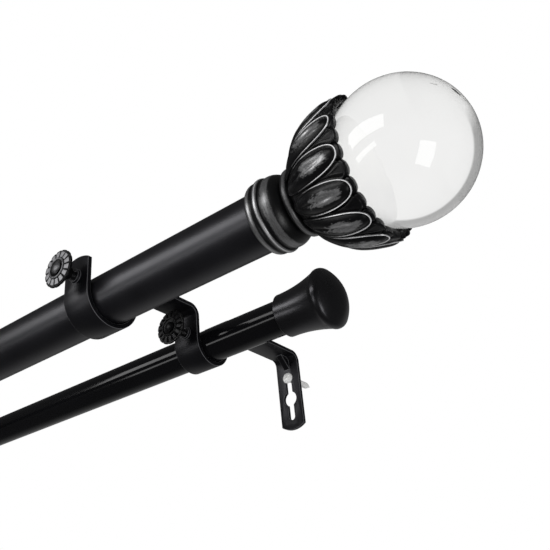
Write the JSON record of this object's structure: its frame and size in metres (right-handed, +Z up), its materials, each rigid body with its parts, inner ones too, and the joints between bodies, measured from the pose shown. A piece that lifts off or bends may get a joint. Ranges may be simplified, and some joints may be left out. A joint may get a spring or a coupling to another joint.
{
  "type": "double curtain rod",
  "caption": "Double telescoping curtain rod: thick front tube with leaf-cup ball finials and thin rear tube with flared caps, carried on bent strap wall brackets with thumbscrews.",
  "frame": {"origin": "on the wall surface, where the right bracket's wall screw enters it", "axes": "+X along the rods towards the pictured finial, +Y into the wall, +Z up"},
  "size_m": [0.8898, 0.211, 0.0617],
  "materials": {
    "satin_black_strap": "satin black baked enamel on steel strip",
    "satin_black_tube": "satin black enamel on thin steel tube",
    "gloss_black_tube": "gloss black enamel on thin steel tube",
    "satin_black_cap": "satin black moulded plastic",
    "antique_casting": "resin casting, black with pewter brushed over the raised detail",
    "clear_ball": "polished clear ball",
    "bright_zinc": "bright zinc plated steel",
    "antique_knob": "die casting, black with pewter brushed over the ribs",
    "dark_steel": "blackened steel stud",
    "plain_steel": "plain steel stud",
    "white_nylon": "moulded nylon"
  },
  "bodies": {
    "bracket_set": {"right_bracket_strap": "satin_black_strap", "left_bracket_strap": "satin_black_strap", "right_wall_screw": "bright_zinc", "left_wall_screw": "bright_zinc", "front_outer_tube": "satin_black_tube", "rear_outer_tube": "gloss_black_tube", "right_finial_collar": "antique_casting", "right_rod_plug": "white_nylon", "right_finial_stud": "plain_steel", "right_finial_cup": "antique_casting", "right_finial_ball": "clear_ball", "right_end_cap": "satin_black_cap"},
    "front_inner_rod": {"front_inner_tube": "satin_black_tube", "front_tube_glide": "white_nylon", "left_finial_collar": "antique_casting", "left_rod_plug": "white_nylon", "left_finial_stud": "plain_steel", "left_finial_cup": "antique_casting", "left_finial_ball": "clear_ball"},
    "rear_inner_rod": {"rear_inner_tube": "gloss_black_tube", "rear_tube_glide": "white_nylon", "left_end_cap": "satin_black_cap"},
    "right_front_stud": {"right_front_thumbscrew_stud": "dark_steel"},
    "right_front_knob": {"right_front_thumbscrew_knob": "antique_knob"},
    "right_rear_stud": {"right_rear_thumbscrew_stud": "dark_steel"},
    "right_rear_knob": {"right_rear_thumbscrew_knob": "antique_knob"},
    "left_front_stud": {"left_front_thumbscrew_stud": "dark_steel"},
    "left_front_knob": {"left_front_thumbscrew_knob": "antique_knob"},
    "left_rear_stud": {"left_rear_thumbscrew_stud": "dark_steel"},
    "left_rear_knob": {"left_rear_thumbscrew_knob": "antique_knob"}
  },
  "joints": [
    {"name": "front_rod_telescope", "type": "slide", "parent": "bracket_set", "child": "front_inner_rod", "axis": [-1, 0, 0], "range_m": [0, 0.508]},
    {"name": "rear_rod_telescope", "type": "slide", "parent": "bracket_set", "child": "rear_inner_rod", "axis": [-1, 0, 0], "range_m": [0, 0.508]},
    {"name": "right_front_stud_travel", "type": "slide", "parent": "bracket_set", "child": "right_front_stud", "axis": [0, -1, 0], "range_m": [0, 0.0042]},
    {"name": "right_front_knob_turn", "type": "hinge", "parent": "right_front_stud", "child": "right_front_knob", "pos_m": [0, -0.178, 0.007], "axis": [0, -1, 0], "range_deg": [0, 2160]},
    {"name": "right_rear_stud_travel", "type": "slide", "parent": "bracket_set", "child": "right_rear_stud", "axis": [0, -1, 0], "range_m": [0, 0.0042]},
    {"name": "right_rear_knob_turn", "type": "hinge", "parent": "right_rear_stud", "child": "right_rear_knob", "pos_m": [0, -0.1043, 0.0012], "axis": [0, -1, 0], "range_deg": [0, 2160]},
    {"name": "left_front_stud_travel", "type": "slide", "parent": "bracket_set", "child": "left_front_stud", "axis": [0, -1, 0], "range_m": [0, 0.0042]},
    {"name": "left_front_knob_turn", "type": "hinge", "parent": "left_front_stud", "child": "left_front_knob", "pos_m": [-0.5122, -0.178, 0.007], "axis": [0, -1, 0], "range_deg": [0, 2160]},
    {"name": "left_rear_stud_travel", "type": "slide", "parent": "bracket_set", "child": "left_rear_stud", "axis": [0, -1, 0], "range_m": [0, 0.0042]},
    {"name": "left_rear_knob_turn", "type": "hinge", "parent": "left_rear_stud", "child": "left_rear_knob", "pos_m": [-0.5122, -0.1043, 0.0012], "axis": [0, -1, 0], "range_deg": [0, 2160]}
  ],
  "couplings": [
    {"joint": "right_front_stud_travel", "follows": "right_front_knob_turn", "m_per_rad": 0.0001114},
    {"joint": "right_rear_stud_travel", "follows": "right_rear_knob_turn", "m_per_rad": 0.0001114},
    {"joint": "left_front_stud_travel", "follows": "left_front_knob_turn", "m_per_rad": 0.0001114},
    {"joint": "left_rear_stud_travel", "follows": "left_rear_knob_turn", "m_per_rad": 0.0001114}
  ]
}
